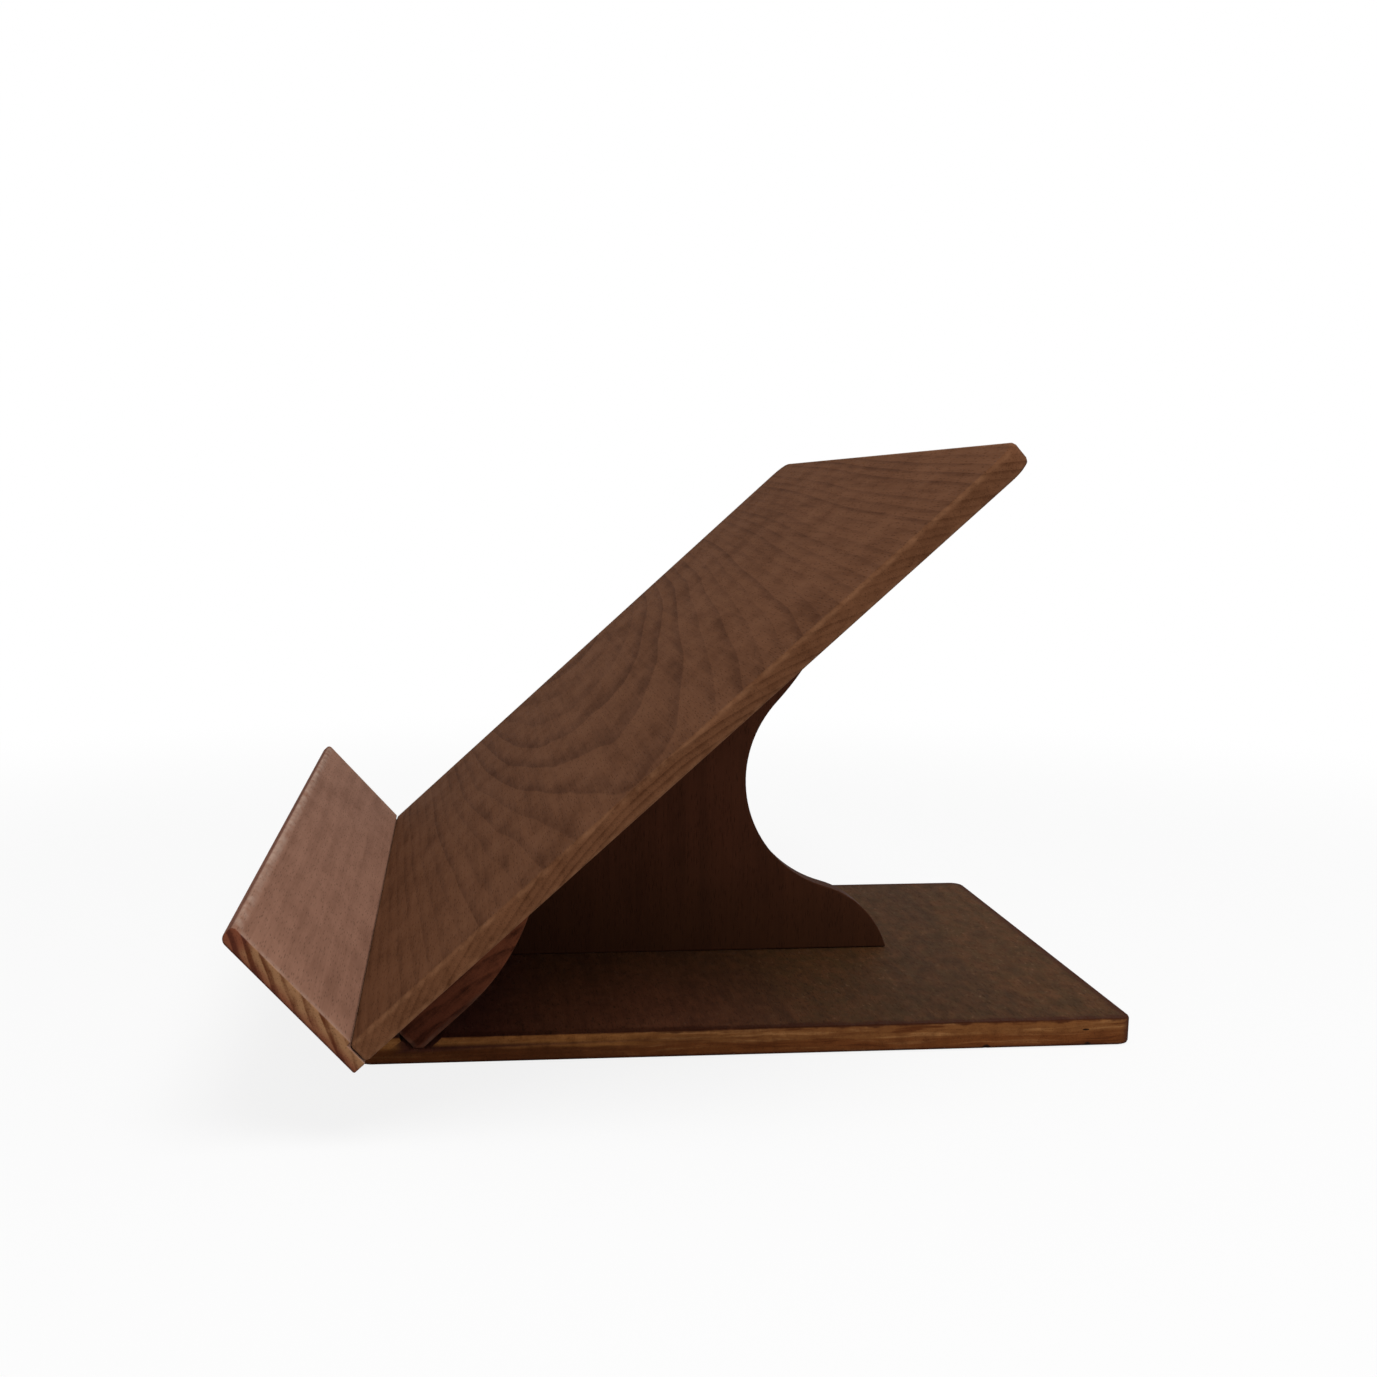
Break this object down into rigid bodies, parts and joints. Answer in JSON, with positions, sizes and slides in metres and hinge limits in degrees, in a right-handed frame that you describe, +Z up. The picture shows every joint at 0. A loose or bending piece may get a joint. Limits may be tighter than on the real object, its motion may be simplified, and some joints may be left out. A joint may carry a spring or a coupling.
{
  "type": "book stand",
  "caption": "Free-standing wooden book stand: a flat base, a shaped fin with a hollow back, a leaning panel and a thin wide ledge at its foot.",
  "frame": {"origin": "on the surface that the stand rests on, under the middle of its bounding box", "axes": "+Z up; +X along the ledge, across the stand; the reader sits at -Y, and the panel leans back towards +Y"},
  "size_m": [0.37, 0.33, 0.2231],
  "materials": {
    "base_board": "dark brown stain, satin",
    "front_block": "dark brown stain, satin, end grain at both ends",
    "support_fin": "dark brown stain, satin",
    "back_panel": "dark brown stain, satin",
    "book_ledge": "mid brown stain, satin",
    "screws": "plain brass, slotted countersunk heads",
    "dowels": "bare beech",
    "pins": "plain steel"
  },
  "bodies": {
    "root": {"base_board": "base_board", "front_block": "front_block", "support_fin": "support_fin", "back_panel": "back_panel", "book_ledge": "book_ledge", "block_screw_1": "screws", "block_screw_2": "screws", "block_screw_3": "screws", "fin_screw_1": "screws", "fin_screw_2": "screws", "block_dowel_1": "dowels", "block_dowel_2": "dowels", "block_dowel_3": "dowels", "fin_dowel_1": "dowels", "fin_dowel_2": "dowels", "ledge_dowel_1": "dowels", "ledge_dowel_2": "dowels", "ledge_dowel_3": "dowels", "ledge_pin_1": "pins", "ledge_pin_2": "pins", "ledge_pin_3": "pins", "ledge_pin_4": "pins", "ledge_pin_5": "pins", "ledge_pin_6": "pins"}
  },
  "joints": []
}
